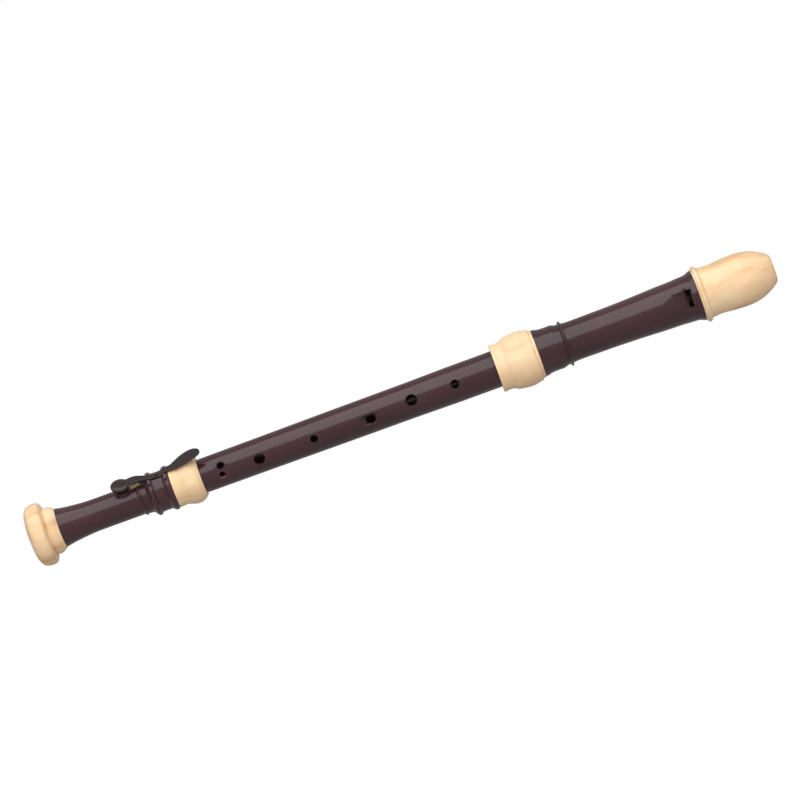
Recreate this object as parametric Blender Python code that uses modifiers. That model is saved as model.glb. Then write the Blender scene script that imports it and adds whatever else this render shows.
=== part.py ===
"""Tenor recorder in three joints, lying with its finger holes up.

Row frame: +X runs along the bore from the bell to the beak, +Z is up (the
finger-hole side), and the origin is under the middle of the instrument, on
the surface that it lies on. All sizes below are in millimetres: x is the
distance from the bell end, r the distance from the bore's axis.
"""

import math

import bmesh
import bpy
from mathutils import Matrix, Vector

MM = 0.001
STEPS = 32                    # facets round a turned piece; one of them faces down

LENGTH = 647.4                # bell end to beak tip
BELL_R = 26.5                 # largest radius, on the bell ring
AXIS_Z = BELL_R * math.cos(math.pi / STEPS)
GAP = 0.3                     # between pieces that touch

# joints between the three sections
FOOT_END = 149.2              # mouth of the foot's socket
FOOT_SOCKET_FLOOR = 126.0
FOOT_SOCKET_R = 13.5
HEAD_END = 406.3              # mouth of the head's socket
HEAD_SOCKET_FLOOR = 440.0
HEAD_SOCKET_R = 14.8
CORK_GAP = 0.3

# bore
HEAD_BORE_R = 12.2
MIDDLE_BORE_TOP_R = 11.6
MIDDLE_BORE_LOW_R = 9.4
FOOT_BORE_R = 8.3
FOOT_BORE_END_R = 9.8

# head: window, lip and windway
WINDWAY_EXIT = 577.0
LIP_EDGE = 572.4
WINDOW_HALF = 7.4
RAMP_START = 556.0
BEAK_START = 582.0
BLOCK_END = 612.0

# finger holes: name, x, turn round the body in degrees (+ towards -Y), diameter along, diameter across
HOLES = (
    ("hole_1", 370.2, 0.0, 7.2, 7.2),
    ("hole_2", 332.3, 0.0, 9.6, 9.4),
    ("hole_3", 296.0, 13.0, 8.4, 8.4),
    ("hole_4", 246.8, 10.5, 6.3, 6.5),
    ("hole_5", 199.3, 11.5, 9.2, 9.0),
    ("hole_6_large", 167.3, -13.0, 5.6, 5.6),
    ("hole_6_small", 166.4, 18.5, 4.6, 4.6),
)
THUMB_HOLE = (386.0, 6.4)
HOLE_6_SCOOP = (166.9, 3.0)   # centre of the shallow saddle cut under the double hole, turn

# key on the foot; the key plane stands KEY_TURN from straight up, towards +Y
KEY_TURN = math.radians(52.0)
CUP_X = 83.9
CUP_R = 7.8
PAD_R = 6.8
SEAT_TOP = 14.9               # height of the raised tone-hole seat above the axis
SEAT_R = 6.2
TONE_HOLE_R = 4.3
CUP_PIVOT = (107.4, 16.6)     # x, height above the axis
TOUCH_PIVOT = (121.8, 16.9)
PIN_R = 0.75
PIN_HOLE_R = 1.05
CHANNEL_HALF = 3.4            # half width of the channel cut through the turned rings
CHANNEL_FLOOR = 13.0
CUP_OPEN = math.radians(7.3)  # the cup lever stands open by this much at rest


# ---------------------------------------------------------------- helpers

for ob in list(bpy.context.scene.objects):
    bpy.data.objects.remove(ob, do_unlink=True)

parts = bpy.data.collections.new("tenor_recorder")
cutters = bpy.data.collections.new("cutters")
bpy.context.scene.collection.children.link(parts)
bpy.context.scene.collection.children.link(cutters)


def principled(name, colour, roughness, metallic=0.0):
    mat = bpy.data.materials.new(name)
    mat.use_nodes = True
    shader = mat.node_tree.nodes["Principled BSDF"]
    shader.inputs["Base Color"].default_value = (*colour, 1.0)
    shader.inputs["Roughness"].default_value = roughness
    shader.inputs["Metallic"].default_value = metallic
    return mat


BROWN = (0.052, 0.022, 0.027)
IVORY = (0.83, 0.66, 0.42)


def world(x, y=0.0, z=0.0):
    """A point given from the bell end and the bore's axis, in the row frame."""
    return Vector(((x - LENGTH / 2) * MM, y * MM, (AXIS_Z + z) * MM))


def put(name, mesh, collection, material=None):
    ob = bpy.data.objects.new(name, mesh)
    collection.objects.link(ob)
    if material is not None:
        ob.data.materials.append(material)
    if collection is cutters:
        ob.hide_render = True
        ob.display_type = "WIRE"
    return ob


def empty(name, location, rotation=(0, 0, 0), parent=None):
    ob = bpy.data.objects.new(name, None)
    parts.objects.link(ob)
    ob.empty_display_size = 0.02
    ob.location = location
    ob.rotation_euler = rotation
    ob.parent = parent
    return ob


def turned(name, outer, inner, at, collection=parts, material=None, steps=STEPS,
           on_axis=False):
    """A ring turned round the bore's axis. outer and inner are (x, r) points
    from the bell end up; at is the x of the object's origin, on the axis."""
    start = math.pi / steps
    loop = list(reversed(outer)) + list(inner)
    mesh = bpy.data.meshes.new(name)
    points = [
        (r * MM * math.cos(start), r * MM * math.sin(start), (x - at) * MM)
        for x, r in loop
    ]
    n = len(points)
    edges = [(i, (i + 1) % n) for i in range(n - 1 if on_axis or not inner else n)]
    mesh.from_pydata(points, edges, [])
    ob = put(name, mesh, collection, material)
    ob.location = world(at)
    ob.rotation_euler = (0, math.pi / 2, 0)
    screw = ob.modifiers.new("turn", "SCREW")
    screw.axis = "Z"
    screw.angle = 2 * math.pi
    screw.steps = screw.render_steps = steps
    screw.use_merge_vertices = True
    screw.merge_threshold = 0.00001
    screw.use_smooth_shade = True
    return ob


def boolean(ob, cutter, operation="DIFFERENCE"):
    mod = ob.modifiers.new(cutter.name, "BOOLEAN")
    mod.operation = operation
    mod.object = cutter
    mod.solver = "EXACT"


def settle(ob, angle=35.0):
    """Applies the modifiers, then shades the round faces smooth."""
    bpy.context.view_layer.update()
    graph = bpy.context.evaluated_depsgraph_get()
    mesh = bpy.data.meshes.new_from_object(ob.evaluated_get(graph))
    ob.modifiers.clear()
    ob.data = mesh
    mesh.shade_smooth()
    mesh.set_sharp_from_angle(angle=math.radians(angle))
    return ob


def cylinder(name, radius, length, matrix, collection=cutters, material=None, sides=20,
             origin=None, parent=None, across=None):
    """A cylinder along the local Z of matrix, centred on it."""
    bm = bmesh.new()
    bmesh.ops.create_cone(bm, cap_ends=True, segments=sides, radius1=radius * MM,
                          radius2=radius * MM, depth=length * MM)
    if across is not None:
        bmesh.ops.scale(bm, vec=(1.0, across / radius, 1.0), verts=bm.verts)
    bmesh.ops.transform(bm, matrix=matrix, verts=bm.verts)
    mesh = bpy.data.meshes.new(name)
    bm.to_mesh(mesh)
    bm.free()
    ob = put(name, mesh, collection, material)
    if origin is not None:
        ob.location = origin
    ob.parent = parent
    return ob


def box(name, low, high, collection=cutters, material=None, origin=None, parent=None,
        slant=None):
    """A box from corner low to corner high (mm); slant(point) may move a corner."""
    bm = bmesh.new()
    bmesh.ops.create_cube(bm, size=1.0)
    for v in bm.verts:
        p = Vector([low[i] if v.co[i] < 0 else high[i] for i in range(3)])
        if slant:
            p = slant(p)
        v.co = p * MM
    bm.normal_update()
    mesh = bpy.data.meshes.new(name)
    bm.to_mesh(mesh)
    bm.free()
    ob = put(name, mesh, collection, material)
    if origin is not None:
        ob.location = origin
    ob.parent = parent
    return ob


def prism(name, outline, low, high, collection=cutters):
    """An outline of (x, z) points, seen along +Y, extruded from y low to y high."""
    bm = bmesh.new()
    verts = [bm.verts.new((x * MM, low * MM, z * MM)) for x, z in outline]
    face = bm.faces.new(verts)
    swept = bmesh.ops.extrude_face_region(bm, geom=[face])
    moved = [g for g in swept["geom"] if isinstance(g, bmesh.types.BMVert)]
    bmesh.ops.translate(bm, verts=moved, vec=(0, (high - low) * MM, 0))
    bmesh.ops.recalc_face_normals(bm, faces=bm.faces)
    mesh = bpy.data.meshes.new(name)
    bm.to_mesh(mesh)
    bm.free()
    ob = put(name, mesh, collection)
    ob.location = world(0)
    return ob


def arc(cx, cz, radius, from_deg, to_deg, count):
    return [
        (cx + radius * math.cos(math.radians(from_deg + (to_deg - from_deg) * i / count)),
         cz + radius * math.sin(math.radians(from_deg + (to_deg - from_deg) * i / count)))
        for i in range(count + 1)
    ]


def sector(name, r_low, r_high, half_deg, low, high, count=6):
    """A piece of a ring above the axis, from x low to x high: a windway's roof."""
    inner = arc(0, 0, r_low, 90 - half_deg, 90 + half_deg, count)
    outer = arc(0, 0, r_high, 90 + half_deg, 90 - half_deg, count)
    bm = bmesh.new()
    verts = [bm.verts.new((low * MM, y * MM, z * MM)) for y, z in inner + outer]
    face = bm.faces.new(verts)
    swept = bmesh.ops.extrude_face_region(bm, geom=[face])
    moved = [g for g in swept["geom"] if isinstance(g, bmesh.types.BMVert)]
    bmesh.ops.translate(bm, verts=moved, vec=((high - low) * MM, 0, 0))
    bmesh.ops.recalc_face_normals(bm, faces=bm.faces)
    mesh = bpy.data.meshes.new(name)
    bm.to_mesh(mesh)
    bm.free()
    ob = put(name, mesh, cutters)
    ob.location = world(0)
    return ob


def lofted(name, sections, chamfer, pivot, material, parent):
    """A bar through eight-sided sections (x, half width, top, bottom), with its
    edges chamfered. Its origin is on pivot, in the key plane."""
    bm = bmesh.new()
    rings = []
    for x, half, top, bottom in sections:
        c = min(chamfer, half * 0.6, (top - bottom) * 0.4)
        outline = (
            (-half, bottom + c), (-half, top - c), (-half + c, top), (half - c, top),
            (half, top - c), (half, bottom + c), (half - c, bottom), (-half + c, bottom),
        )
        rings.append([
            bm.verts.new(((x - pivot[0]) * MM, y * MM, (z - pivot[1]) * MM))
            for y, z in outline
        ])
    for a, b in zip(rings, rings[1:]):
        for i in range(8):
            j = (i + 1) % 8
            bm.faces.new((a[i], a[j], b[j], b[i]))
    bm.faces.new(rings[0])
    bm.faces.new(list(reversed(rings[-1])))
    bmesh.ops.recalc_face_normals(bm, faces=bm.faces)
    mesh = bpy.data.meshes.new(name)
    bm.to_mesh(mesh)
    bm.free()
    ob = put(name, mesh, parts, material)
    ob.parent = parent
    ob.location = (pivot[0] * MM, 0, pivot[1] * MM)
    return ob


def along_z(x=0.0, y=0.0, z=0.0):
    return Matrix.Translation((x * MM, y * MM, z * MM))


def along_y(x=0.0, y=0.0, z=0.0):
    return Matrix.Translation((x * MM, y * MM, z * MM)) @ Matrix.Rotation(math.pi / 2, 4, "X")


# ---------------------------------------------------------------- the foot

KEY_PLANE = empty("key_plane", world(0), (-KEY_TURN, 0, 0))

brown_foot = principled("foot_brown", BROWN, 0.28)
foot_tube = turned(
    "foot_tube",
    [
        (3.6, 13.6), (26.1, 13.6),
        (26.1, 16.5), (30.3, 15.7), (35.3, 14.9), (40.2, 14.35), (45.1, 13.9),
        (50.0, 13.5), (56.0, 13.25), (95.0, 13.25),
        (95.7, 13.7), (96.3, 14.6), (97.1, 14.75), (97.9, 14.1), (98.6, 13.95),
        (101.4, 14.1), (103.6, 15.0), (105.0, 17.0), (106.2, 18.35), (107.4, 18.5),
        (108.6, 18.2), (109.5, 17.2), (110.7, 16.75), (113.0, 16.55), (117.4, 16.6),
        (119.0, 17.2), (120.2, 18.5), (121.8, 18.95), (123.2, 18.6), (124.2, 17.6),
        (124.2, 15.3), (148.9, 15.3),
    ],
    [
        (3.6, FOOT_BORE_END_R), (45.0, FOOT_BORE_R), (95.0, FOOT_BORE_R),
        (FOOT_SOCKET_FLOOR, 9.2), (FOOT_SOCKET_FLOOR, FOOT_SOCKET_R),
        (148.9, FOOT_SOCKET_R),
    ],
    at=149.2, material=brown_foot,
)

seat = cylinder("tone_hole_seat", SEAT_R, SEAT_TOP - 10.5,
                along_z(CUP_X, 0, (SEAT_TOP + 10.5) / 2), sides=24, parent=KEY_PLANE)
tone_hole = cylinder("tone_hole_bore", TONE_HOLE_R, 20.0, along_z(CUP_X, 0, 14.0),
                     sides=20, parent=KEY_PLANE)
channel = box("key_channel", (99.4, -CHANNEL_HALF, CHANNEL_FLOOR),
              (124.35, CHANNEL_HALF, 24.0), parent=KEY_PLANE)
groove = box("spring_groove", (89.6, -2.6, 12.9), (100.4, 2.6, 20.0), parent=KEY_PLANE)
cup_pin_hole = cylinder("cup_pin_hole", PIN_HOLE_R, 24.0,
                        along_y(CUP_PIVOT[0], 0, CUP_PIVOT[1]), sides=12, parent=KEY_PLANE)
touch_pin_hole = cylinder("touch_pin_hole", PIN_HOLE_R, 24.0,
                          along_y(TOUCH_PIVOT[0], 0, TOUCH_PIVOT[1]), sides=12,
                          parent=KEY_PLANE)
boolean(foot_tube, seat, "UNION")
for cutter in (tone_hole, channel, groove, cup_pin_hole, touch_pin_hole):
    boolean(foot_tube, cutter)
settle(foot_tube)

bell_ring = turned(
    "bell_ring",
    [
        (0.0, 17.0), (0.5, 19.4), (1.5, 22.0), (2.8, 24.0), (4.6, 25.4), (7.2, 26.2),
        (10.4, BELL_R), (12.6, 26.3), (14.2, 25.5), (15.2, 24.0), (15.9, 22.0),
        (16.5, 19.3), (17.3, 19.75), (20.4, 19.7), (22.4, 19.0), (24.2, 17.8),
        (25.8, 16.6),
    ],
    [(0.0, 10.8), (3.3, 10.8), (3.3, 13.9), (25.8, 13.9)],
    at=149.2, material=principled("bell_ivory", IVORY, 0.35),
)
settle(bell_ring)

foot_socket_ring = turned(
    "foot_socket_ring",
    [
        (124.5, 17.9), (126.3, 17.75), (129.0, 17.55), (131.3, 17.6), (133.8, 18.4),
        (136.2, 19.2), (138.6, 19.85), (141.2, 19.95), (143.6, 19.6), (146.0, 18.5),
        (148.2, 17.1), (149.2, 16.1),
    ],
    [(124.5, 15.6), (149.2, 15.6)],
    at=149.2, material=principled("foot_ring_ivory", IVORY, 0.35),
)
# a shallow relief under the touch lever, for the head of its spring's screw
screw_relief = box("screw_relief", (125.4, -2.1, 16.8), (129.6, 2.1, 22.0),
                   parent=KEY_PLANE)
boolean(foot_socket_ring, screw_relief)
settle(foot_socket_ring)

# ---------------------------------------------------------------- the key

key_brown = principled("key_dark", (0.045, 0.022, 0.03), 0.3)
steel = principled("pin_steel", (0.55, 0.55, 0.57), 0.3, 1.0)
bronze = principled("spring_bronze", (0.62, 0.42, 0.2), 0.35, 1.0)

touch_lever = lofted(
    "touch_lever",
    [
        (112.7, 2.5, 15.75, 14.45), (114.9, 2.6, 15.8, 14.4), (115.5, 2.6, 17.5, 14.4),
        (118.5, 2.7, 18.0, 14.6), (121.8, 2.8, 19.2, 14.9), (123.0, 2.8, 19.9, 15.6),
        (123.9, 2.9, 20.2, 18.5), (125.6, 3.0, 20.3, 18.55), (127.6, 3.2, 20.5, 18.75),
        (129.8, 3.8, 20.9, 19.2), (133.2, 4.9, 22.0, 20.3), (137.8, 6.0, 23.5, 21.9),
        (142.0, 6.5, 24.7, 23.2), (146.0, 6.6, 25.5, 24.1), (150.0, 6.0, 26.1, 24.8),
        (152.8, 4.7, 26.3, 25.1), (154.6, 3.0, 26.2, 25.15), (155.4, 1.6, 26.0, 25.25),
    ],
    0.5, TOUCH_PIVOT, key_brown, KEY_PLANE,
)
touch_bore = cylinder("touch_lever_bore", PIN_HOLE_R, 12.0, along_y(),
                      origin=(TOUCH_PIVOT[0] * MM, 0, TOUCH_PIVOT[1] * MM), sides=12,
                      parent=KEY_PLANE)
touch_screw_hole = cylinder("touch_screw_hole", 1.0, 1.6,
                            along_z(127.4 - TOUCH_PIVOT[0], 0, 18.9 - TOUCH_PIVOT[1]),
                            origin=(TOUCH_PIVOT[0] * MM, 0, TOUCH_PIVOT[1] * MM), sides=10,
                            parent=KEY_PLANE)
boolean(touch_lever, touch_bore)
boolean(touch_lever, touch_screw_hole)
settle(touch_lever, 30)

# The cup lever is shaped with its pad flat on the seat, then stood open.
cup_lever = lofted(
    "cup_lever",
    [
        (89.0, 4.4, 18.7, 17.8), (93.0, 4.5, 19.6, 17.9), (97.0, 4.1, 20.3, 18.0),
        (99.6, 3.7, 20.3, 17.7), (100.6, 3.3, 20.2, 15.25), (101.6, 3.0, 20.1, 15.2),
        (104.5, 2.8, 19.6, 15.55), (107.4, 2.7, 19.0, 14.95), (109.3, 2.7, 18.5, 15.4),
        (110.6, 2.6, 18.3, 16.5), (114.4, 2.5, 18.6, 17.05),
    ],
    0.5, CUP_PIVOT, key_brown, KEY_PLANE,
)
_cup_x = CUP_X - CUP_PIVOT[0]
_cup_origin = (CUP_PIVOT[0] * MM, 0, CUP_PIVOT[1] * MM)


def cup_disc(name, profile, material=None, collection=cutters, steps=28):
    """A disc turned round the cup's own axis; profile is (radius, height above
    the bore's axis), from its top centre out and down to its bottom centre."""
    mesh = bpy.data.meshes.new(name)
    mesh.from_pydata(
        [(r * MM, 0, (z - CUP_PIVOT[1]) * MM) for r, z in profile],
        [(i, i + 1) for i in range(len(profile) - 1)], [])
    ob = put(name, mesh, collection, material)
    screw = ob.modifiers.new("turn", "SCREW")
    screw.axis = "Z"
    screw.steps = screw.render_steps = steps
    screw.use_merge_vertices = True
    screw.merge_threshold = 0.00001
    screw.use_smooth_shade = True
    settle(ob)
    ob.data.transform(Matrix.Translation((_cup_x * MM, 0, 0)))
    ob.parent = KEY_PLANE
    ob.location = _cup_origin
    return ob


cup_body = cup_disc("cup_body", [
    (0.0, 19.1), (4.6, 18.95), (6.8, 18.5), (7.6, 18.0), (CUP_R, 17.4), (CUP_R, 16.2),
    (7.5, 15.9), (PAD_R + GAP, 15.9), (PAD_R + GAP, 17.5), (0.0, 17.5),
])
cup_bore = cylinder("cup_lever_bore", PIN_HOLE_R, 12.0, along_y(), origin=_cup_origin,
                    sides=12, parent=KEY_PLANE)
cup_screw_hole = cylinder("cup_screw_hole", 1.0, 2.0,
                          along_z(103.3 - CUP_PIVOT[0], 0, 15.5 - CUP_PIVOT[1]),
                          origin=_cup_origin, sides=10, parent=KEY_PLANE)
boolean(cup_lever, cup_body, "UNION")
for cutter in (cup_bore, cup_screw_hole):
    boolean(cup_lever, cutter)
settle(cup_lever, 30)

key_pad = cup_disc("key_pad", [
    (0.0, 17.2), (PAD_R - 0.3, 17.2), (PAD_R, 16.9), (PAD_R, 15.3), (PAD_R - 0.3, 15.0),
    (0.0, 15.0),
], principled("pad_felt", (0.5, 0.45, 0.38), 0.9), parts, steps=24)

cup_spring_screw = cup_disc("cup_spring_screw", [
    (0.0, 16.2), (0.7, 16.2), (0.7, 14.5), (1.3, 14.5), (1.3, 14.1), (0.0, 14.1),
], steel, parts, steps=12)
cup_spring_screw.data.transform(Matrix.Translation(((103.3 - CUP_X) * MM, 0, 0)))

for ob in (cup_lever, key_pad, cup_spring_screw):
    ob.rotation_euler = (0, CUP_OPEN, 0)

touch_spring_screw = cup_disc("touch_spring_screw", [
    (0.0, 19.4), (0.7, 19.4), (0.7, 17.95), (1.2, 17.95), (1.2, 17.7), (0.0, 17.7),
], steel, parts, steps=12)
touch_spring_screw.data.transform(Matrix.Translation(
    ((127.4 - TOUCH_PIVOT[0] - _cup_x) * MM, 0, (CUP_PIVOT[1] - TOUCH_PIVOT[1]) * MM)))
touch_spring_screw.location = (TOUCH_PIVOT[0] * MM, 0, TOUCH_PIVOT[1] * MM)

for name, pivot, half, radius in (
    ("cup_pivot_pin", CUP_PIVOT, 7.5, PIN_R), ("touch_pivot_pin", TOUCH_PIVOT, 7.8, PIN_R),
):
    pin = cylinder(name, radius, 2 * half, along_y(), collection=parts, material=steel,
                   origin=(pivot[0] * MM, 0, pivot[1] * MM), sides=12, parent=KEY_PLANE)
    settle(pin)


def leaf_spring(name, points, half, thick, pivot, hole_x, hole_r):
    """A flat strip along points (x, height of its underside), with a hole for
    its screw. Its origin is on the lever's pivot."""
    bm = bmesh.new()
    low, top = [], []
    for x, z in points:
        low.append([bm.verts.new(((x - pivot[0]) * MM, y * MM, (z - pivot[1]) * MM))
                    for y in (-half, half)])
        top.append([bm.verts.new(((x - pivot[0]) * MM, y * MM,
                                  (z + thick - pivot[1]) * MM)) for y in (-half, half)])
    for i in range(len(points) - 1):
        bm.faces.new((low[i][0], low[i][1], low[i + 1][1], low[i + 1][0]))
        bm.faces.new((top[i][0], top[i + 1][0], top[i + 1][1], top[i][1]))
        for k in (0, 1):
            bm.faces.new((low[i][k], low[i + 1][k], top[i + 1][k], top[i][k]))
    for e in (0, -1):
        bm.faces.new((low[e][0], low[e][1], top[e][1], top[e][0]))
    bmesh.ops.recalc_face_normals(bm, faces=bm.faces)
    mesh = bpy.data.meshes.new(name)
    bm.to_mesh(mesh)
    bm.free()
    ob = put(name, mesh, parts, bronze)
    ob.parent = KEY_PLANE
    ob.location = (pivot[0] * MM, 0, pivot[1] * MM)
    hole = cylinder(name + "_hole", hole_r, 8.0, along_z(hole_x - pivot[0]),
                    origin=ob.location, sides=12, parent=KEY_PLANE)
    boolean(ob, hole)
    settle(ob, 40)
    return ob


cup_spring = leaf_spring(
    "cup_spring",
    [(91.0, 13.35), (93.0, 13.55), (95.5, 14.0), (98.0, 14.5), (100.5, 14.95),
     (101.8, 15.2), (105.2, 15.25)],
    1.9, 0.35, CUP_PIVOT, 103.2, 1.0)
touch_spring = leaf_spring(
    "touch_spring",
    [(125.2, 18.1), (128.9, 18.25), (131.5, 18.75), (134.5, 19.45), (137.5, 20.1),
     (139.8, 20.4), (141.0, 20.55)],
    1.9, 0.3, TOUCH_PIVOT, 127.4, 1.0)

tail_buffer = box("tail_buffer", (112.0, -2.3, 13.3), (116.0, 2.3, 14.1), collection=parts,
                  material=principled("buffer_felt", (0.35, 0.3, 0.28), 0.9),
                  parent=KEY_PLANE)

# ---------------------------------------------------------------- the middle

TENON_GROOVE_UP = 13.3
TENON_GROOVE_LOW = 12.0
middle_tube = turned(
    "middle_tube",
    [
        (FOOT_SOCKET_FLOOR + 0.4, 12.9), (129.2, 12.9), (129.2, TENON_GROOVE_LOW),
        (146.2, TENON_GROOVE_LOW), (146.2, 13.0), (149.5, 13.0),
        (149.5, 14.1), (152.0, 14.2), (175.0, 14.3), (215.0, 14.45), (255.0, 14.7),
        (295.0, 14.85), (330.0, 14.95), (355.0, 15.25), (370.0, 15.4), (400.0, 15.4),
        (405.0, 15.55), (406.0, 15.55),
        (406.0, 14.3), (409.6, 14.3), (409.6, TENON_GROOVE_UP), (434.4, TENON_GROOVE_UP),
        (434.4, 14.3), (439.4, 14.2),
    ],
    [
        (FOOT_SOCKET_FLOOR + 0.4, MIDDLE_BORE_LOW_R), (280.0, 10.5),
        (439.4, MIDDLE_BORE_TOP_R),
    ],
    at=LENGTH / 2, material=principled("middle_brown", BROWN, 0.28),
)
for name, x, turn, along, across in HOLES:
    m = Matrix.Rotation(math.radians(turn), 4, "X") @ Matrix.Translation((x * MM, 0, 14 * MM))
    hole = cylinder(name, along / 2, 16.0, m, origin=world(0), sides=16, across=across / 2)
    boolean(middle_tube, hole)
thumb = cylinder("thumb_hole", THUMB_HOLE[1] / 2, 16.0,
                 Matrix.Translation((THUMB_HOLE[0] * MM, 0, -14 * MM)), origin=world(0),
                 sides=16)
boolean(middle_tube, thumb)
# the shallow saddle across the double hole
saddle = cylinder(
    "hole_6_saddle", 16.0, 30.0,
    Matrix.Rotation(math.radians(HOLE_6_SCOOP[1]), 4, "X")
    @ along_y(HOLE_6_SCOOP[0], 0, 13.35 + 16.0),
    origin=world(0), sides=64)
boolean(middle_tube, saddle)
settle(middle_tube)

cork = principled("cork", (0.42, 0.25, 0.13), 0.85)
upper_tenon_cork = turned(
    "upper_tenon_cork", [(409.9, 14.3), (410.5, 14.5), (433.5, 14.5), (434.1, 14.3)],
    [(409.9, TENON_GROOVE_UP + CORK_GAP), (434.1, TENON_GROOVE_UP + CORK_GAP)],
    at=422.0, material=cork)
settle(upper_tenon_cork)
lower_tenon_cork = turned(
    "lower_tenon_cork", [(129.5, 13.0), (130.1, 13.2), (145.3, 13.2), (145.9, 13.0)],
    [(129.5, TENON_GROOVE_LOW + CORK_GAP), (145.9, TENON_GROOVE_LOW + CORK_GAP)],
    at=137.0, material=cork)
settle(lower_tenon_cork)

# ---------------------------------------------------------------- the head

head_tube = turned(
    "head_tube",
    [
        (406.6, 17.4), (443.1, 17.4),
        (443.1, 19.9), (445.4, 19.7), (447.8, 18.95), (450.2, 18.65), (459.6, 18.6),
        (461.6, 17.9), (463.4, 17.25), (465.2, 17.5), (466.2, 19.4), (467.2, 19.4),
        (468.0, 17.2), (470.0, 16.75), (473.5, 16.5), (488.0, 16.6), (510.0, 16.85),
        (524.0, 17.25), (537.0, 17.75), (549.0, 18.3), (562.0, 18.6), (570.0, 19.2),
        (576.0, 19.4), (578.6, 20.4), (580.4, 21.1), (581.7, 21.4),
        (581.7, 15.5), (592.0, 15.5),
    ],
    [
        (406.6, HEAD_SOCKET_R), (HEAD_SOCKET_FLOOR, HEAD_SOCKET_R),
        (HEAD_SOCKET_FLOOR, HEAD_BORE_R), (592.0, HEAD_BORE_R),
    ],
    at=HEAD_END, material=principled("head_brown", BROWN, 0.28),
)
window = box("window", (LIP_EDGE, -WINDOW_HALF, 8.0), (WINDWAY_EXIT, WINDOW_HALF, 30.0),
             origin=world(0))
ramp = prism(
    "lip_ramp",
    [(RAMP_START - 6.0, 23.2), (RAMP_START, 18.9), (LIP_EDGE, 12.7), (LIP_EDGE + 2.0, 12.3),
     (LIP_EDGE + 2.0, 30.0), (RAMP_START - 6.0, 30.0)],
    -WINDOW_HALF, WINDOW_HALF)
# the scooped flat that runs out round the ramp towards the middle
facet = prism(
    "lip_facet",
    [(546.0, 20.0), (556.0, 17.7), (LIP_EDGE + 1.0, 16.6), (LIP_EDGE + 1.0, 30.0),
     (546.0, 30.0)],
    -9.6, 9.6)
roof = sector("windway_roof", 11.0, 12.9, 35.0, WINDWAY_EXIT - 0.8, 594.0)
for cutter in (facet, ramp, window, roof):
    boolean(head_tube, cutter)
settle(head_tube)

head_socket_ring = turned(
    "head_socket_ring",
    [
        (406.3, 19.6), (406.9, 20.2), (409.2, 20.2), (410.0, 19.8), (413.8, 19.85),
        (416.0, 20.6), (417.8, 21.6), (420.2, 22.4), (424.0, 23.0), (428.6, 23.45),
        (432.6, 23.3), (436.0, 22.5), (438.6, 22.1), (440.2, 21.3), (441.2, 20.3),
        (442.8, 20.1),
    ],
    [(406.3, 17.7), (442.8, 17.7)],
    at=HEAD_END, material=principled("head_ring_ivory", IVORY, 0.35),
)
settle(head_socket_ring)

# the bore is blind, so the profile starts and ends on the axis
beak_cap = turned(
    "beak_cap",
    [
        (BEAK_START, 21.5), (583.0, 22.6), (584.2, 23.7), (585.2, 23.9), (586.4, 23.3),
        (587.6, 21.6), (589.0, 21.1), (592.0, 21.0), (594.5, 20.7), (600.0, 20.95),
        (606.0, 21.6), (612.0, 22.05), (622.0, 22.1), (627.0, 21.4), (632.0, 20.2),
        (636.0, 18.7), (640.0, 16.8), (643.5, 14.7), (645.6, 13.2), (646.8, 12.1),
        (LENGTH, 11.0), (LENGTH, 0.0),
    ],
    [(BEAK_START, 15.8), (592.3, 15.8), (592.3, HEAD_BORE_R),
     (BLOCK_END + 0.3, HEAD_BORE_R), (BLOCK_END + 0.3, 0.0)],
    at=HEAD_END, material=principled("beak_ivory", IVORY, 0.35), on_axis=True,
)
# thumb side of the beak, hollowed to meet the lower lip
scoop = prism(
    "beak_scoop",
    [(LENGTH + 3.0, 3.6)] + arc(647.0, -48.4, 52.0, 90.0, 146.0, 12)
    + [(590.0, -40.0), (LENGTH + 3.0, -40.0)],
    -40.0, 40.0)
windway_mouth = box(
    "windway_mouth", (BLOCK_END - 1.0, -6.0, 0.0), (LENGTH + 2.0, 6.0, 1.5),
    origin=world(0),
    slant=lambda p: Vector((
        p.x, p.y * (1.0 if p.x < 630 else 0.86),
        p.z + (11.3 if p.x < 630 else 6.6) - (0.0 if p.x < 630 else 0.1))))
cap_roof = sector("cap_windway_roof", 11.0, 12.9, 35.0, BEAK_START - 2.0, BLOCK_END + 0.3)
for cutter in (scoop, cap_roof, windway_mouth):
    boolean(beak_cap, cutter)
settle(beak_cap)

windway_block = turned(
    "windway_block",
    [(WINDWAY_EXIT, 0.0), (WINDWAY_EXIT, 11.3), (577.6, 11.9), (BLOCK_END, 11.9),
     (BLOCK_END, 0.0)],
    [],
    at=HEAD_END, material=principled("block_ivory", (0.8, 0.68, 0.5), 0.4),
)
floor = sector("windway_floor", 11.45, 13.5, 36.0, WINDWAY_EXIT - 1.0, BLOCK_END + 1.0)
boolean(windway_block, floor)
boolean(windway_block, scoop)
settle(windway_block)

# every turned piece of one section stands under one empty on the axis
for name, x, members in (
    ("foot_axis", FOOT_END, (foot_tube, bell_ring, foot_socket_ring)),
    ("middle_axis", LENGTH / 2, (middle_tube,)),
    ("head_axis", HEAD_END, (head_tube, head_socket_ring, beak_cap, windway_block)),
):
    holder = empty(name, world(x))
    for ob in members:
        ob.parent = holder
        ob.location = (ob.location[0] - holder.location[0], 0, 0)
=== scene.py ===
import math

import bmesh
import bpy
from mathutils import Matrix, Vector

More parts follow.
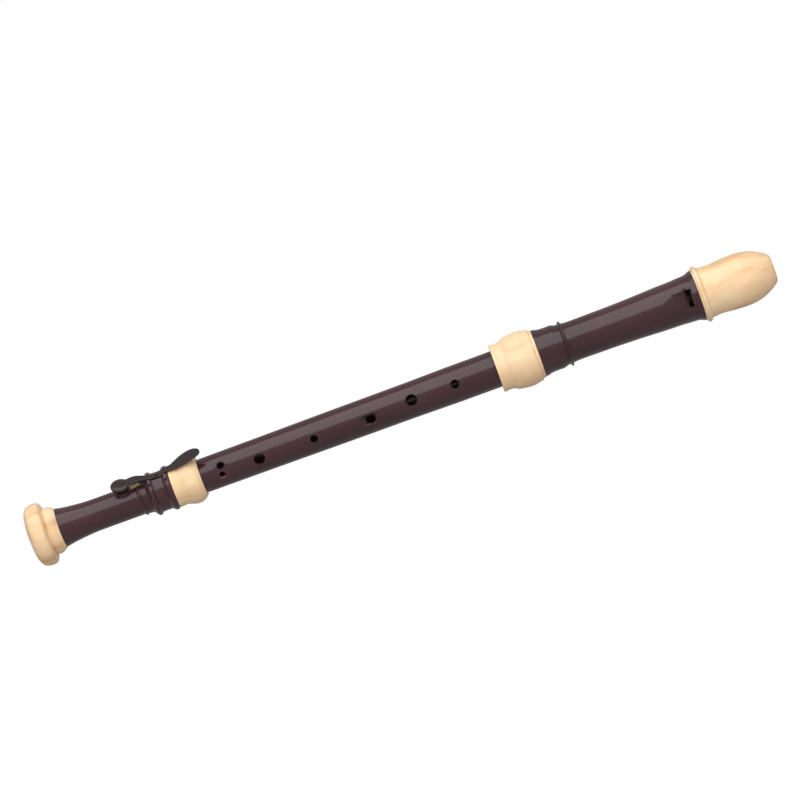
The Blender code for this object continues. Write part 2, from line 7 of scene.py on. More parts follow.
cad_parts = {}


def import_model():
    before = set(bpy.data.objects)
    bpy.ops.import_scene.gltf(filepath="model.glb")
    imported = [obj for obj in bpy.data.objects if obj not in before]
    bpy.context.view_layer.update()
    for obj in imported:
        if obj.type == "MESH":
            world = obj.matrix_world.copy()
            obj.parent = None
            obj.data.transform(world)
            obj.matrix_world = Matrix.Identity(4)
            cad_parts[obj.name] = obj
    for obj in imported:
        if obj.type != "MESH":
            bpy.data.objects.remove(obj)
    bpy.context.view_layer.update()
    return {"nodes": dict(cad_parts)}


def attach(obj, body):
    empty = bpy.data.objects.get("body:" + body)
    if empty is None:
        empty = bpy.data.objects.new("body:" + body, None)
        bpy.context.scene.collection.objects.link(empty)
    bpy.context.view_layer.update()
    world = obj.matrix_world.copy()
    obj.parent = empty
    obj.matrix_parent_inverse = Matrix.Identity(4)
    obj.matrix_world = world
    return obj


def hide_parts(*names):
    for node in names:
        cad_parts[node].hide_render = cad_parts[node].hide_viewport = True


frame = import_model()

MM = 0.001
LENGTH = 647.4
AXIS_Z = 26.5 * math.cos(math.pi / 32)
START = 0.0
ROUND = 144
KEY_TURN = math.radians(52.0)
scene = bpy.context.scene
scene.view_settings.view_transform = "Standard"


def world(x, y=0.0, z=0.0):
    return Vector(((x - LENGTH / 2) * MM, y * MM, (AXIS_Z + z) * MM))


# ------------------------------------------------------------------ materials

def node_tree(name):
    mat = bpy.data.materials.new(name)
    mat.use_nodes = True
    tree = mat.node_tree
    return mat, tree, tree.nodes["Principled BSDF"]


def ramp_of(tree, stops):
    ramp = tree.nodes.new("ShaderNodeValToRGB")
    ramp.color_ramp.elements[0].position = stops[0][0]
    ramp.color_ramp.elements[0].color = (*stops[0][1], 1)
    ramp.color_ramp.elements[1].position = stops[-1][0]
    ramp.color_ramp.elements[1].color = (*stops[-1][1], 1)
    for pos, colour in stops[1:-1]:
        ramp.color_ramp.elements.new(pos).color = (*colour, 1)
    return ramp


def noise_of(tree, scale, detail=4.0, stretch=(1, 1, 1), rough=0.55, distortion=0.0):
    coord = tree.nodes.new("ShaderNodeTexCoord")
    mapping = tree.nodes.new("ShaderNodeMapping")
    mapping.inputs["Scale"].default_value = stretch
    noise = tree.nodes.new("ShaderNodeTexNoise")
    noise.inputs["Scale"].default_value = scale
    noise.inputs["Detail"].default_value = detail
    noise.inputs["Roughness"].default_value = rough
    noise.inputs["Distortion"].default_value = distortion
    tree.links.new(coord.outputs["Object"], mapping.inputs["Vector"])
    tree.links.new(mapping.outputs["Vector"], noise.inputs["Vector"])
    return noise


def remap(tree, socket, low, high):
    node = tree.nodes.new("ShaderNodeMapRange")
    node.inputs["From Min"].default_value = 0.3
    node.inputs["From Max"].default_value = 0.7
    node.inputs["To Min"].default_value = low
    node.inputs["To Max"].default_value = high
    tree.links.new(socket, node.inputs["Value"])
    return node.outputs["Result"]


def bump_of(tree, socket, strength, distance):
    bump = tree.nodes.new("ShaderNodeBump")
    bump.inputs["Strength"].default_value = strength
    bump.inputs["Distance"].default_value = distance
    tree.links.new(socket, bump.inputs["Height"])
    return bump.outputs["Normal"]


def plastic(name, stops, rough, grain_scale, stretch, bump, detail=5.0, distortion=0.6):
    mat, tree, shader = node_tree(name)
    grain = noise_of(tree, grain_scale, detail, stretch, 0.6, distortion)
    colour = ramp_of(tree, stops)
    tree.links.new(grain.outputs["Fac"], colour.inputs["Fac"])
    tree.links.new(colour.outputs["Color"], shader.inputs["Base Color"])
    wear = noise_of(tree, 90.0, 6.0, (0.5, 1, 1), 0.6)
    tree.links.new(remap(tree, wear.outputs["Fac"], *rough), shader.inputs["Roughness"])
    fine = noise_of(tree, 1400.0, 3.0, (0.4, 1, 1), 0.6)
    tree.links.new(bump_of(tree, fine.outputs["Fac"], bump, 0.0003), shader.inputs["Normal"])
    return mat


brown = plastic("brown_body", [
    (0.25, (0.034, 0.0125, 0.0155)), (0.5, (0.045, 0.0165, 0.0205)),
    (0.75, (0.060, 0.0225, 0.0265))], (0.13, 0.21), 26.0, (0.35, 1, 1), 0.035)
dark_key = plastic("key_dark", [
    (0.25, (0.012, 0.007, 0.008)), (0.5, (0.019, 0.010, 0.012)),
    (0.75, (0.030, 0.015, 0.018))], (0.2, 0.32), 60.0, (0.5, 1, 1), 0.05)
ivory = plastic("ivory_trim", [
    (0.36, (0.62, 0.38, 0.18)), (0.45, (0.77, 0.52, 0.30)), (0.55, (0.82, 0.58, 0.35)),
    (0.66, (0.88, 0.67, 0.44))], (0.3, 0.42), 34.0, (0.22, 1.3, 1.3), 0.05)
block_mat = plastic("block_ivory", [
    (0.3, (0.70, 0.55, 0.36)), (0.7, (0.82, 0.68, 0.48))], (0.4, 0.5), 40.0, (0.3, 1, 1), 0.06)
cork = plastic("cork", [
    (0.3, (0.13, 0.06, 0.025)), (0.45, (0.36, 0.2, 0.1)), (0.7, (0.5, 0.31, 0.17))],
    (0.7, 0.9), 420.0, (1, 1, 1), 0.6)
felt = plastic("felt", [
    (0.3, (0.30, 0.25, 0.20)), (0.7, (0.46, 0.40, 0.33))], (0.85, 0.95), 900.0, (1, 1, 1), 0.8)


def metal(name, colour, rough):
    mat, tree, shader = node_tree(name)
    shader.inputs["Metallic"].default_value = 1.0
    drawn = noise_of(tree, 500.0, 4.0, (0.05, 1, 1))
    tint = ramp_of(tree, [(0.3, tuple(c * 0.8 for c in colour)), (0.7, colour)])
    tree.links.new(drawn.outputs["Fac"], tint.inputs["Fac"])
    tree.links.new(tint.outputs["Color"], shader.inputs["Base Color"])
    tree.links.new(remap(tree, drawn.outputs["Fac"], rough * 0.8, rough * 1.3),
                   shader.inputs["Roughness"])
    return mat


steel = metal("steel", (0.55, 0.55, 0.57), 0.28)
bronze = metal("spring_strip", (0.6, 0.42, 0.22), 0.32)

for name, mat in (
    ("windway_block", block_mat), ("upper_tenon_cork", cork), ("lower_tenon_cork", cork),
    ("key_pad", felt), ("tail_buffer", felt), ("touch_pivot_pin", steel),
    ("cup_pivot_pin", steel), ("touch_spring_screw", steel), ("cup_spring_screw", steel),
    ("touch_spring", bronze), ("cup_spring", bronze), ("foot_tube", brown),
    ("middle_tube", brown), ("head_tube", brown), ("bell_ring", ivory),
    ("foot_socket_ring", ivory), ("head_socket_ring", ivory), ("beak_cap", ivory),
    ("touch_lever", dark_key), ("cup_lever", dark_key),
):
    ob = frame["nodes"][name]
    ob.data.materials.clear()
    ob.data.materials.append(mat)

# ------------------------------------------------------------------ shapes

made = []


def put(name, mesh, mat=None, helper=False):
    ob = bpy.data.objects.new(name, mesh)
    scene.collection.objects.link(ob)
    if mat is not None:
        mesh.materials.clear()
        mesh.materials.append(mat)
    if helper:
        made.append(ob)
    return ob


def smooth_run(points, per=5):
    """A smooth curve through the points of one run, ends kept."""
    if len(points) < 3:
        return list(points)
    out = [points[0]]
    for i in range(len(points) - 1):
        p0 = points[max(i - 1, 0)]
        p1, p2 = points[i], points[i + 1]
        p3 = points[min(i + 2, len(points) - 1)]
        span = math.dist(p1, p2)
        before, after = max(math.dist(p0, p1), 1e-6), max(math.dist(p2, p3), 1e-6)
        m1 = [((p2[k] - p0[k]) / (before + span)) * span for k in (0, 1)] if i else [
            p2[k] - p1[k] for k in (0, 1)]
        m2 = [((p3[k] - p1[k]) / (span + after)) * span for k in (0, 1)] if (
            i + 2 < len(points)) else [p2[k] - p1[k] for k in (0, 1)]
        for s in range(1, per + 1):
            t = s / per
            h = (2 * t**3 - 3 * t**2 + 1, t**3 - 2 * t**2 + t, -2 * t**3 + 3 * t**2, t**3 - t**2)
            out.append(tuple(
                h[0] * p1[k] + h[1] * m1[k] + h[2] * p2[k] + h[3] * m2[k] for k in (0, 1)))
    return out


def lathe(name, runs, inner, mat, closed=True):
    """Turned round the bore's axis. runs are smooth stretches of the outside,
    from the bell end up, with a sharp corner between them."""
    outer = []
    for run in runs:
        pts = smooth_run(run)
        outer += pts if not outer or outer[-1] != pts[0] else pts[1:]
    loop = list(reversed(outer)) + list(inner)
    bm = bmesh.new()
    rings = []
    for x, r in loop:
        if r < 1e-6:
            rings.append([bm.verts.new(world(x))])
            continue
        rings.append([
            bm.verts.new(world(x, r * math.sin(2 * math.pi * k / ROUND),
                               r * math.cos(2 * math.pi * k / ROUND)))
            for k in range(ROUND)])
    pairs = list(zip(rings, rings[1:] + rings[:1])) if closed else list(zip(rings, rings[1:]))
    for a, b in pairs:
        for k in range(ROUND):
            j = (k + 1) % ROUND
            if len(a) == 1 and len(b) == 1:
                continue
            if len(a) == 1:
                bm.faces.new((a[0], b[k], b[j]))
            elif len(b) == 1:
                bm.faces.new((a[k], b[0], a[j]))
            else:
                bm.faces.new((a[k], b[k], b[j], a[j]))
    bmesh.ops.recalc_face_normals(bm, faces=bm.faces)
    mesh = bpy.data.meshes.new(name)
    bm.to_mesh(mesh)
    bm.free()
    return put(name, mesh, mat)


def cylinder(name, radius, length, matrix, sides=64, across=None):
    bm = bmesh.new()
    bmesh.ops.create_cone(bm, cap_ends=True, segments=sides, radius1=radius * MM,
                          radius2=radius * MM, depth=length * MM)
    if across is not None:
        bmesh.ops.scale(bm, vec=(1.0, across / radius, 1.0), verts=bm.verts)
    bmesh.ops.transform(bm, matrix=matrix, verts=bm.verts)
    mesh = bpy.data.meshes.new(name)
    bm.to_mesh(mesh)
    bm.free()
    return put(name, mesh, helper=True)


def prism(name, outline, low, high, axis="Y"):
    bm = bmesh.new()
    if axis == "Y":
        verts = [bm.verts.new(world(x, low, z)) for x, z in outline]
        move = (0, (high - low) * MM, 0)
    else:
        verts = [bm.verts.new(world(low, y, z)) for y, z in outline]
        move = ((high - low) * MM, 0, 0)
    face = bm.faces.new(verts)
    swept = bmesh.ops.extrude_face_region(bm, geom=[face])
    moved = [g for g in swept["geom"] if isinstance(g, bmesh.types.BMVert)]
    bmesh.ops.translate(bm, verts=moved, vec=move)
    bmesh.ops.recalc_face_normals(bm, faces=bm.faces)
    mesh = bpy.data.meshes.new(name)
    bm.to_mesh(mesh)
    bm.free()
    return put(name, mesh, helper=True)


def box(name, low, high, matrix=None):
    bm = bmesh.new()
    bmesh.ops.create_cube(bm, size=1.0)
    for v in bm.verts:
        v.co = Vector([(low[i] if v.co[i] < 0 else high[i]) * MM for i in range(3)])
    bmesh.ops.transform(bm, matrix=matrix, verts=bm.verts)
    mesh = bpy.data.meshes.new(name)
    bm.to_mesh(mesh)
    bm.free()
    return put(name, mesh, helper=True)


def arc(cx, cz, radius, a, b, count):
    return [(cx + radius * math.cos(math.radians(a + (b - a) * i / count)),
             cz + radius * math.sin(math.radians(a + (b - a) * i / count)))
            for i in range(count + 1)]


def sector(name, r_low, r_high, half, low, high):
    inner = arc(0, 0, r_low, 90 - half, 90 + half, 14)
    outer = arc(0, 0, r_high, 90 + half, 90 - half, 14)
    return prism(name, inner + outer, low, high, axis="X")


def boolean(ob, cutter, operation="DIFFERENCE"):
    mod = ob.modifiers.new(cutter.name, "BOOLEAN")
    mod.operation = operation
    mod.object = cutter
    mod.solver = "EXACT"


def settle(ob, angle=30.0, bevel=0.0):
    if bevel:
        mod = ob.modifiers.new("edges", "BEVEL")
        mod.width = bevel * MM
        mod.segments = 3
        mod.limit_method = "ANGLE"
        mod.angle_limit = math.radians(38)
        mod.use_clamp_overlap = True
    bpy.context.view_layer.update()
    mesh = bpy.data.meshes.new_from_object(
        ob.evaluated_get(bpy.context.evaluated_depsgraph_get()))
    mats = [m for m in ob.data.materials]
    ob.modifiers.clear()
    ob.data = mesh
    mesh.materials.clear()
    for m in mats[:1]:
        mesh.materials.append(m)
    for p in mesh.polygons:
        p.material_index = 0
    mesh.shade_smooth()
    mesh.set_sharp_from_angle(angle=math.radians(angle))
    return ob


AXIS = Matrix.Translation(world(0))
KEY = AXIS @ Matrix.Rotation(-KEY_TURN, 4, "X")


def along_z(x=0.0, y=0.0, z=0.0):
    return Matrix.Translation((x * MM, y * MM, z * MM))


def along_y(x=0.0, y=0.0, z=0.0):
    return along_z(x, y, z) @ Matrix.Rotation(math.pi / 2, 4, "X")


def stand_in(piece, node, body):
    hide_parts(node)
    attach(piece, body)


# foot
foot = lathe("foot_body", [
    [(3.6, 13.6), (26.1, 13.6)], [(26.1, 13.6), (26.1, 16.5)],
    [(26.1, 16.5), (30.3, 15.7), (35.3, 14.9), (40.2, 14.35), (45.1, 13.9), (50.0, 13.5),
     (56.0, 13.28), (75.0, 13.25), (95.0, 13.25)],
    [(95.0, 13.25), (95.7, 13.8), (96.4, 14.65), (97.1, 14.72), (97.8, 14.2), (98.2, 13.9)],
    [(98.2, 13.9), (101.2, 14.05), (103.4, 14.9), (105.0, 17.0), (106.2, 18.25),
     (107.4, 18.5), (108.6, 18.1), (109.4, 17.2), (109.8, 16.75)],
    [(109.8, 16.75), (110.7, 16.7), (113.0, 16.55), (117.4, 16.6), (118.4, 16.8)],
    [(118.4, 16.8), (119.2, 17.5), (120.3, 18.5), (121.8, 18.95), (123.2, 18.55),
     (124.2, 17.6)],
    [(124.2, 17.6), (124.2, 15.3)], [(124.2, 15.3), (148.9, 15.3)],
], [(3.6, 9.8), (45.0, 8.3), (95.0, 8.3), (126.0, 9.2), (126.0, 13.5), (148.9, 13.5)], brown)
seat = cylinder("c_seat", 6.2, 4.4, KEY @ along_z(83.9, 0, 12.7))
boolean(foot, seat, "UNION")
for c in (
    cylinder("c_tone", 4.3, 20.0, KEY @ along_z(83.9, 0, 14.0)),
    box("c_channel", (99.4, -3.4, 13.0), (124.35, 3.4, 24.0), KEY),
    box("c_groove", (89.6, -2.6, 12.9), (100.4, 2.6, 20.0), KEY),
    cylinder("c_pin_a", 1.05, 24.0, KEY @ along_y(107.4, 0, 16.6), sides=24),
    cylinder("c_pin_b", 1.05, 24.0, KEY @ along_y(121.8, 0, 16.9), sides=24),
):
    boolean(foot, c)
settle(foot)
stand_in(foot, "foot_tube", "foot_joint")

bell = lathe("bell_rim", [
    [(0.0, 10.8), (0.0, 17.0)],
    [(0.0, 17.0), (0.45, 19.4), (1.5, 22.0), (2.8, 24.0), (4.6, 25.4), (7.2, 26.2),
     (10.4, 26.5), (12.6, 26.25), (14.2, 25.4), (15.2, 24.0), (15.9, 22.0), (16.4, 19.4)],
    [(16.4, 19.4), (17.2, 19.75), (18.8, 19.85), (20.4, 19.7), (22.4, 19.0), (24.2, 17.9),
     (25.3, 17.0)],
    [(25.3, 17.0), (25.8, 16.7)],
], [(25.8, 13.9), (3.3, 13.9), (3.3, 10.8)][::-1], ivory)
settle(bell)
stand_in(bell, "bell_ring", "foot_joint")

foot_ring = lathe("foot_collar", [
    [(124.5, 17.6), (124.8, 17.95), (126.3, 17.75), (129.0, 17.55), (131.3, 17.6),
     (133.8, 18.4), (136.2, 19.2), (138.6, 19.85), (141.2, 19.95), (143.6, 19.6),
     (146.0, 18.5), (148.2, 17.0), (149.2, 15.9)],
], [(124.5, 15.6), (149.2, 15.6)], ivory)
boolean(foot_ring, box("c_relief", (125.4, -2.1, 16.8), (129.6, 2.1, 22.0), KEY))
settle(foot_ring)
stand_in(foot_ring, "foot_socket_ring", "foot_joint")

# middle
middle = lathe("finger_tube", [
    [(126.4, 12.9), (129.2, 12.9)], [(129.2, 12.9), (129.2, 12.0)], [(129.2, 12.0), (146.2, 12.0)],
    [(146.2, 12.0), (146.2, 13.0)], [(146.2, 13.0), (149.5, 13.0)], [(149.5, 13.0), (149.5, 14.1)],
    [(149.5, 14.1), (152.0, 14.2), (175.0, 14.3), (215.0, 14.45), (255.0, 14.7),
     (295.0, 14.85), (330.0, 14.95), (355.0, 15.25), (370.0, 15.4), (400.0, 15.4),
     (405.0, 15.5), (406.0, 15.5)],
    [(406.0, 15.5), (406.0, 14.3)], [(406.0, 14.3), (409.6, 14.3)], [(409.6, 14.3), (409.6, 13.3)],
    [(409.6, 13.3), (434.4, 13.3)], [(434.4, 13.3), (434.4, 14.3)], [(434.4, 14.3), (439.4, 14.2)],
], [(126.4, 9.4), (280.0, 10.5), (439.4, 11.6)], brown)
HOLES = (
    (370.2, 0.0, 7.2, 7.2), (332.3, 0.0, 9.6, 9.4), (296.0, 13.0, 8.4, 8.4),
    (246.8, 10.5, 6.3, 6.5), (199.3, 11.5, 9.2, 9.0), (167.3, -13.0, 5.6, 5.6),
    (166.4, 18.5, 4.6, 4.6),
)
saddle = cylinder("c_saddle", 16.0, 30.0,
                  AXIS @ Matrix.Rotation(math.radians(3.0), 4, "X")
                  @ along_y(166.9, 0, 29.35), sides=256)
boolean(middle, saddle)
for i, (x, turn, along, across) in enumerate(HOLES):
    turned = AXIS @ Matrix.Rotation(math.radians(turn), 4, "X")
    boolean(middle, cylinder(f"c_hole_{i}", along / 2, 16.0, turned @ along_z(x, 0, 14),
                             across=across / 2))
    # the rim of each hole is broken with a shallow countersink
    bm = bmesh.new()
    bmesh.ops.create_cone(bm, cap_ends=True, segments=64, radius1=(along / 2 - 0.6) * MM,
                          radius2=(along / 2 + 1.4) * MM, depth=2.0 * MM)
    rim_r = 15.4 if x > 360 else 14.95 if x > 280 else 14.7 if x > 220 else 14.4
    low = rim_r - 13.35 if x < 180 else 0.0
    bmesh.ops.transform(bm, matrix=turned @ along_z(x, 0, rim_r - low + 0.25), verts=bm.verts)
    mesh = bpy.data.meshes.new(f"c_rim_{i}")
    bm.to_mesh(mesh)
    bm.free()
    boolean(middle, put(f"c_rim_{i}", mesh, helper=True))
boolean(middle, cylinder("c_thumb", 3.2, 16.0, AXIS @ along_z(386.0, 0, -14)))
settle(middle)
stand_in(middle, "middle_tube", "middle_joint")

# head
head = lathe("head_body", [
    [(406.6, 17.4), (443.1, 17.4)], [(443.1, 17.4), (443.1, 19.9)],
    [(443.1, 19.9), (445.4, 19.7), (447.8, 18.95), (450.2, 18.65), (455.0, 18.5),
     (459.2, 18.62)],
    [(459.2, 18.62), (459.8, 18.4), (461.6, 17.9), (463.4, 17.3), (465.0, 17.35)],
    [(465.0, 17.35), (465.5, 18.2), (466.2, 19.2), (466.8, 19.4), (467.4, 18.9),
     (467.9, 17.6), (468.2, 17.1)],
    [(468.2, 17.1), (470.0, 16.75), (473.5, 16.52), (488.0, 16.6), (510.0, 16.85),
     (524.0, 17.25), (537.0, 17.75), (549.0, 18.3), (562.0, 18.6), (570.0, 19.1),
     (576.0, 19.45), (578.6, 20.3), (580.4, 21.1), (581.7, 21.4)],
    [(581.7, 21.4), (581.7, 15.5)], [(581.7, 15.5), (592.0, 15.5)],
], [(406.6, 14.8), (440.0, 14.8), (440.0, 12.2), (592.0, 12.2)], brown)
facet = prism("c_facet", [(546.0, 20.0), (556.0, 17.7), (573.4, 16.6), (573.4, 30.0),
                          (546.0, 30.0)], -9.6, 9.6)
ramp = prism("c_ramp", [(550.0, 23.2), (556.0, 18.9), (572.4, 12.7), (574.4, 12.3),
                        (574.4, 30.0), (550.0, 30.0)], -7.4, 7.4)
window = box("c_window", (572.4, -7.4, 8.0), (577.0, 7.4, 30.0), AXIS)
for c in (facet, ramp, window, sector("c_roof", 11.0, 12.9, 35.0, 576.2, 594.0)):
    boolean(head, c)
settle(head)
stand_in(head, "head_tube", "head_joint")

head_ring = lathe("head_collar", [
    [(406.3, 19.6), (406.7, 20.1), (408.0, 20.3), (409.3, 20.1), (409.9, 19.75)],
    [(409.9, 19.75), (413.4, 19.85), (416.0, 20.6), (417.8, 21.6), (420.2, 22.4),
     (424.0, 23.0), (428.6, 23.4), (432.6, 23.3), (436.0, 22.6), (438.6, 22.1),
     (439.8, 21.7)],
    [(439.8, 21.7), (440.4, 20.9), (441.0, 20.35), (442.0, 20.35), (442.8, 20.0)],
], [(406.3, 17.7), (442.8, 17.7)], ivory)
settle(head_ring)
stand_in(head_ring, "head_socket_ring", "head_joint")

beak = lathe("beak", [
    [(582.0, 21.5), (583.0, 22.5), (584.0, 23.6), (584.8, 23.9), (585.6, 23.75),
     (586.4, 23.1), (587.4, 21.8), (588.2, 21.3)],
    [(588.2, 21.3), (590.0, 21.15), (592.0, 21.0), (593.4, 20.75)],
    [(593.4, 20.75), (596.0, 20.7), (600.0, 20.95), (606.0, 21.6), (612.0, 22.0),
     (618.0, 22.12), (622.0, 22.0), (627.0, 21.35), (632.0, 20.15), (636.0, 18.7),
     (640.0, 16.8), (643.5, 14.7), (645.6, 13.2), (646.7, 12.1), (647.3, 11.0),
     (647.4, 10.2)],
    [(647.4, 10.2), (647.4, 0.0)],
], [(582.0, 15.8), (592.3, 15.8), (592.3, 12.2), (612.3, 12.2), (612.3, 0.0)], ivory,
    closed=False)
scoop = prism("c_scoop", [(650.4, 3.6)] + arc(647.0, -48.4, 52.0, 90.0, 146.0, 60)
              + [(590.0, -40.0), (650.4, -40.0)], -40.0, 40.0)
mouth = prism("c_mouth", [(611.0, 11.3), (649.4, 6.5), (649.4, 8.0), (611.0, 12.8)],
              -5.4, 5.4)
for c in (scoop, sector("c_cap_roof", 11.0, 12.9, 35.0, 580.0, 612.3), mouth):
    boolean(beak, c)
settle(beak)
stand_in(beak, "beak_cap", "head_joint")

# key levers: a finer skin of the same sections
def lofted(name, sections, pivot, turn, mat, extra=(), per=5, corner=0.62):
    cols = list(zip(*sections))
    xs = []
    for i in range(len(sections) - 1):
        steps = max(2, int(abs(sections[i + 1][0] - sections[i][0]) / 0.45))
        xs += [(i, s / steps) for s in range(steps)]
    xs.append((len(sections) - 2, 1.0))

    def at(i, t, k):
        p0 = sections[max(i - 1, 0)]
        p1, p2 = sections[i], sections[i + 1]
        p3 = sections[min(i + 2, len(sections) - 1)]
        d = p2[0] - p1[0]
        if k == 0:
            return p1[0] + d * t
        s0 = (p1[k] - p0[k]) / (p1[0] - p0[0]) if i else (p2[k] - p1[k]) / d
        s1 = (p2[k] - p1[k]) / d
        s2 = (p3[k] - p2[k]) / (p3[0] - p2[0]) if i + 2 < len(sections) else s1
        ma = 0 if s0 * s1 <= 0 else 2 * s0 * s1 / (s0 + s1)
        mb = 0 if s1 * s2 <= 0 else 2 * s1 * s2 / (s1 + s2)
        h = (2*t**3 - 3*t**2 + 1, t**3 - 2*t**2 + t, -2*t**3 + 3*t**2, t**3 - t**2)
        return h[0] * p1[k] + h[1] * ma * d + h[2] * p2[k] + h[3] * mb * d

    bm = bmesh.new()
    rings = []
    for i, t in xs:
        x, half, top, bottom = (at(i, t, k) for k in range(4))
        c = min(corner, half * 0.6, (top - bottom) * 0.42)
        ring = []
        for cy, cz, a in ((half - c, top - c, 0), (-half + c, top - c, 90),
                          (-half + c, bottom + c, 180), (half - c, bottom + c, 270)):
            for s in range(per + 1):
                ang = math.radians(a + 90 * s / per)
                ring.append((cy + c * math.cos(ang), cz + c * math.sin(ang)))
        rings.append([bm.verts.new(((x - pivot[0]) * MM, y * MM, (z - pivot[1]) * MM))
                      for y, z in ring])
    n = len(rings[0])
    for a, b in zip(rings, rings[1:]):
        for k in range(n):
            j = (k + 1) % n
            bm.faces.new((a[k], a[j], b[j], b[k]))
    bm.faces.new(rings[0])
    bm.faces.new(list(reversed(rings[-1])))
    bmesh.ops.recalc_face_normals(bm, faces=bm.faces)
    place = KEY @ along_z(pivot[0], 0, pivot[1]) @ Matrix.Rotation(turn, 4, "Y")
    bmesh.ops.transform(bm, matrix=place, verts=bm.verts)
    mesh = bpy.data.meshes.new(name)
    bm.to_mesh(mesh)
    bm.free()
    return put(name, mesh, mat), place


touch, place = lofted("touch_piece", [
    (112.7, 2.5, 15.75, 14.45), (114.9, 2.6, 15.8, 14.4), (115.5, 2.6, 17.5, 14.4),
    (118.5, 2.7, 18.0, 14.6), (121.8, 2.8, 19.2, 14.9), (123.0, 2.8, 19.9, 15.6),
    (123.9, 2.9, 20.2, 18.5), (125.6, 3.0, 20.3, 18.55), (127.6, 3.2, 20.5, 18.75),
    (129.8, 3.8, 20.9, 19.2), (133.2, 4.9, 22.0, 20.3), (137.8, 6.0, 23.5, 21.9),
    (142.0, 6.5, 24.7, 23.2), (146.0, 6.6, 25.5, 24.1), (150.0, 6.0, 26.1, 24.8),
    (152.8, 4.7, 26.3, 25.1), (154.3, 3.4, 26.25, 25.15), (155.0, 2.3, 26.15, 25.2),
    (155.4, 1.2, 26.0, 25.25),
], (121.8, 16.9), 0.0, dark_key)
boolean(touch, cylinder("c_touch_bore", 1.05, 12.0, place @ along_y(), sides=32))
boolean(touch, cylinder("c_touch_screw", 1.0, 1.6, place @ along_z(5.6, 0, 2.0), sides=32))
settle(touch)
stand_in(touch, "touch_lever", "touch")

lever, place = lofted("cup_piece", [
    (89.0, 4.4, 18.7, 17.8), (93.0, 4.5, 19.6, 17.9), (97.0, 4.1, 20.3, 18.0),
    (99.6, 3.7, 20.3, 17.7), (100.6, 3.3, 20.2, 15.25), (101.6, 3.0, 20.1, 15.2),
    (104.5, 2.8, 19.6, 15.55), (107.4, 2.7, 19.0, 14.95), (109.3, 2.7, 18.5, 15.4),
    (110.6, 2.6, 18.3, 16.5), (114.4, 2.5, 18.6, 17.05),
], (107.4, 16.6), math.radians(7.3), dark_key)


def disc(name, profile, centre_x, matrix, steps=96):
    bm = bmesh.new()
    rings = []
    for r, z in profile:
        z -= 16.6
        if r < 1e-6:
            rings.append([bm.verts.new((centre_x * MM, 0, z * MM))])
        else:
            rings.append([bm.verts.new((
                (centre_x + r * math.cos(2 * math.pi * k / steps)) * MM,
                r * math.sin(2 * math.pi * k / steps) * MM, z * MM)) for k in range(steps)])
    for a, b in zip(rings, rings[1:]):
        for k in range(steps):
            j = (k + 1) % steps
            if len(a) == 1:
                bm.faces.new((a[0], b[k], b[j]))
            elif len(b) == 1:
                bm.faces.new((a[k], b[0], a[j]))
            else:
                bm.faces.new((a[k], b[k], b[j], a[j]))
    bmesh.ops.recalc_face_normals(bm, faces=bm.faces)
    bmesh.ops.transform(bm, matrix=matrix, verts=bm.verts)
    mesh = bpy.data.meshes.new(name)
    bm.to_mesh(mesh)
    bm.free()
    return put(name, mesh, helper=True)


cup = disc("c_cup", [
    (0.0, 19.1), (2.5, 19.06), (4.6, 18.95), (5.8, 18.78), (6.8, 18.45), (7.4, 18.1),
    (7.7, 17.7), (7.8, 17.3), (7.8, 16.2), (7.68, 15.98), (7.5, 15.9), (7.1, 15.9),
    (7.1, 17.5), (0.0, 17.5)], 83.9 - 107.4, place)
boolean(lever, cup, "UNION")
boolean(lever, cylinder("c_cup_bore", 1.05, 12.0, place @ along_y(), sides=32))
boolean(lever, cylinder("c_cup_screw", 1.0, 2.0,
                        place @ along_z(103.3 - 107.4, 0, 15.5 - 16.6), sides=32))
settle(lever)
stand_in(lever, "cup_lever", "cup")

for ob in made:
    bpy.data.objects.remove(ob, do_unlink=True)

# ------------------------------------------------------------------ stage

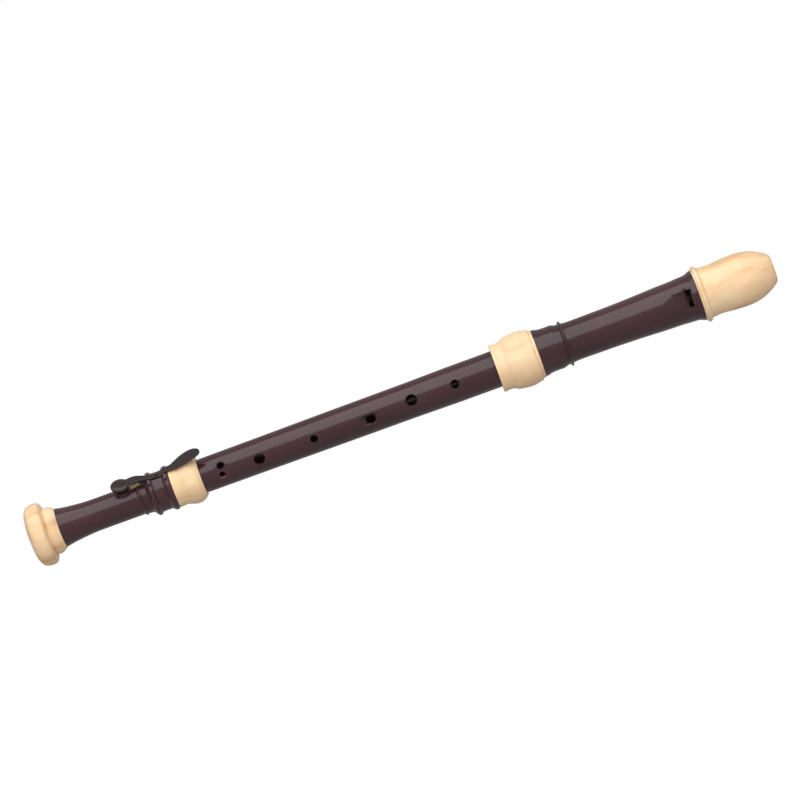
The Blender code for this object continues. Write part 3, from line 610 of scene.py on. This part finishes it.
bm = bmesh.new()
bmesh.ops.create_grid(bm, x_segments=1, y_segments=1, size=6.0)
mesh = bpy.data.meshes.new("floor")
bm.to_mesh(mesh)
bm.free()
floor_mat, tree, shader = node_tree("floor_paper")
shader.inputs["Base Color"].default_value = (0.0, 0.0, 0.0, 1)
shader.inputs["Roughness"].default_value = 0.95
shader.inputs["Specular IOR Level"].default_value = 0.0
shader.inputs["Emission Color"].default_value = (1.0, 1.0, 1.0, 1)
shader.inputs["Emission Strength"].default_value = 1.0
floor = put("floor", mesh, floor_mat)
floor.location.z = -0.0005
floor.visible_glossy = False
floor.visible_diffuse = False

world_data = bpy.data.worlds.new("studio")
scene.world = world_data
world_data.use_nodes = True
background = world_data.node_tree.nodes["Background"]
background.inputs["Color"].default_value = (1.0, 0.99, 0.98, 1)
background.inputs["Strength"].default_value = 0.42


def softbox(name, centre_dir, distance, size, power, tint=(1, 1, 1)):
    """An area light that faces the instrument; centre_dir is its angle from
    straight up, towards the key side."""
    light = bpy.data.lights.new(name, "AREA")
    light.shape = "RECTANGLE"
    light.size, light.size_y = size
    light.energy = power
    light.color = tint
    ob = bpy.data.objects.new(name, light)
    scene.collection.objects.link(ob)
    a = math.radians(centre_dir)
    ob.location = Vector((0, math.sin(a) * distance, AXIS_Z * MM + math.cos(a) * distance))
    look = (Vector((0, 0, AXIS_Z * MM)) - ob.location).normalized()
    ob.rotation_mode = "QUATERNION"
    ob.rotation_quaternion = look.to_track_quat("-Z", "X") @ Matrix.Rotation(
        math.radians(90), 4, "Z").to_quaternion()
    return ob


key_light = softbox("key_softbox", 52.0, 1.3, (3.4, 1.75), 30.0)
fill = softbox("fill_overhead", 4.0, 4.2, (3.0, 3.0), 70.0)
fill.visible_glossy = False

aim = Vector((-0.0003, 0.0031, AXIS_Z * MM))
where = Vector((0.0478, 0.0031, AXIS_Z * MM + 3.034))
look = (aim - where).normalized()
hint = Vector((math.sin(math.radians(20.05)), math.cos(math.radians(20.05)), 0))
right = look.cross(hint).normalized()
up = right.cross(look).normalized()
cam_data = bpy.data.cameras.new("camera")
cam_data.lens = 166.5
cam_data.sensor_width = 36.0
cam_data.clip_end = 30.0
cam = bpy.data.objects.new("camera", cam_data)
scene.collection.objects.link(cam)
cam.matrix_world = Matrix((
    (right.x, up.x, -look.x, where.x),
    (right.y, up.y, -look.y, where.y),
    (right.z, up.z, -look.z, where.z),
    (0, 0, 0, 1)))
scene.camera = cam

bpy.context.view_layer.update()
